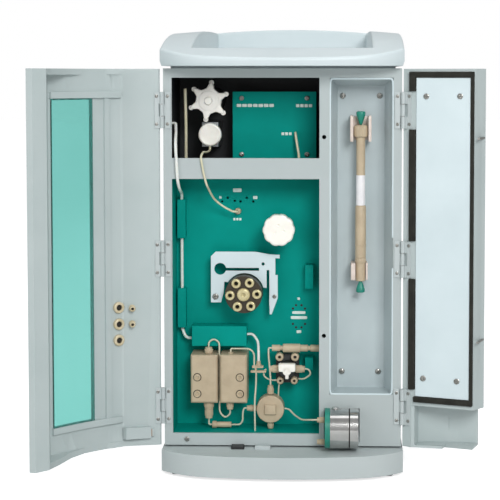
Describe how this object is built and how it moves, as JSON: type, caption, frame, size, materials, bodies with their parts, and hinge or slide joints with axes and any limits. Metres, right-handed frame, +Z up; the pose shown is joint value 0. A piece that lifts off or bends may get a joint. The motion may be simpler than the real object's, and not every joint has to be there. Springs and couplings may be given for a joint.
{
  "type": "ion chromatograph",
  "caption": "bench ion chromatograph in a tall cabinet with two open bowed doors, a teal wet end with valve and pump, a column recess and a sunk top tray",
  "frame": {"origin": "middle of the footprint with the doors as they stand open, on the bench surface", "axes": "+X to the right seen from the front, +Y to the back, +Z up"},
  "size_m": [0.4564, 0.4542, 0.473],
  "materials": {
    "grey_housing": "satin pale blue-grey paint",
    "pale_tray": "very pale blue-grey moulded plastic",
    "black_liner": "black moulded liner",
    "teal_panel": "satin teal paint",
    "peek_tan": "turned tan polymer",
    "white_plastic": "white moulded plastic",
    "steel": "turned stainless steel",
    "black_plastic": "black plastic",
    "rubber_black": "black rubber",
    "teal_glass": "tinted acrylic sheet",
    "cream_tube": "cream translucent tube",
    "green_plug": "green moulded plug",
    "pale_sheet": "pale painted sheet",
    "dark_valve": "dark valve body",
    "brass_cream": "pale brass",
    "zinc": "zinc-plated sheet"
  },
  "bodies": {
    "cabinet": {"base_tray": "grey_housing", "rubber_feet": "rubber_black", "base_blocks": "black_plastic", "cabinet_shell": "grey_housing", "front_frame": "grey_housing", "rear_panel": "grey_housing", "top_tray": "pale_tray", "upper_bay_liner": "black_liner", "upper_bay_module": "black_plastic", "upper_bay_plate": "teal_panel", "cabinet_screws": "steel", "rotor_motor": "black_plastic", "regulator_plate": "zinc", "regulator_disc": "white_plastic", "wet_end_bay": "teal_panel", "tube_clips": "teal_panel", "valve_bracket": "pale_sheet", "injection_valve_body": "dark_valve", "injection_valve_ports": "brass_cream", "injection_valve_boss": "brass_cream", "suppressor_body": "black_plastic", "pump_cover": "teal_panel", "pump_head_left": "peek_tan", "pump_head_right": "peek_tan", "capillary_nuts": "peek_tan", "inline_filters": "peek_tan", "pulsation_damper": "peek_tan", "purge_valve_body": "black_plastic", "purge_fittings": "peek_tan", "peek_capillaries": "peek_tan", "white_hose": "white_plastic", "cream_capillary": "cream_tube", "column_liner": "grey_housing", "column_tube": "peek_tan", "column_end_nuts": "peek_tan", "column_plugs": "green_plug", "column_clips": "pale_sheet", "detector_can": "steel", "detector_end_plate": "green_plug", "detector_saddle": "grey_housing", "cabinet_hinge_leaves": "grey_housing", "hinge_pins": "steel", "rear_drives": "zinc", "power_supply": "zinc", "fan_frame": "black_plastic", "mains_inlet": "black_plastic"},
    "left_door": {"left_door_shell": "grey_housing", "left_door_window": "teal_glass", "left_door_hinge_leaves": "grey_housing", "left_door_ports": "brass_cream"},
    "right_door": {"right_door_shell": "grey_housing", "right_door_gasket": "rubber_black", "right_door_plate": "pale_sheet", "right_door_screws": "steel", "right_door_catches": "steel", "right_door_hinge_leaves": "grey_housing"},
    "rotor": {"six_arm_rotor": "white_plastic"},
    "union_nut": {"suppressor_nut": "white_plastic"},
    "purge_handle": {"purge_valve_handle": "white_plastic"},
    "impeller": {"fan_impeller": "black_plastic"}
  },
  "joints": [
    {"name": "left_door_hinge", "type": "hinge", "parent": "cabinet", "child": "left_door", "pos_m": [-0.10579, -0.11088, 0.225], "axis": [0, 0, 1], "range_deg": [-3, 129]},
    {"name": "right_door_hinge", "type": "hinge", "parent": "cabinet", "child": "right_door", "pos_m": [0.14421, -0.11088, 0.225], "axis": [0, 0, 1], "range_deg": [-160, 3]},
    {"name": "rotor_spin", "type": "hinge", "parent": "cabinet", "child": "rotor", "pos_m": [-0.06079, -0.06788, 0.389], "axis": [0, 1, 0], "continuous": true},
    {"name": "union_nut_turn", "type": "hinge", "parent": "cabinet", "child": "union_nut", "pos_m": [0.01511, -0.09788, 0.2544], "axis": [0, 1, 0], "continuous": true},
    {"name": "purge_handle_turn", "type": "hinge", "parent": "cabinet", "child": "purge_handle", "pos_m": [0.02351, -0.09588, 0.1047], "axis": [0, 1, 0], "range_deg": [0, 90]},
    {"name": "fan_spin", "type": "hinge", "parent": "cabinet", "child": "impeller", "pos_m": [-0.04079, 0.21012, 0.33], "axis": [0, 1, 0], "continuous": true}
  ]
}
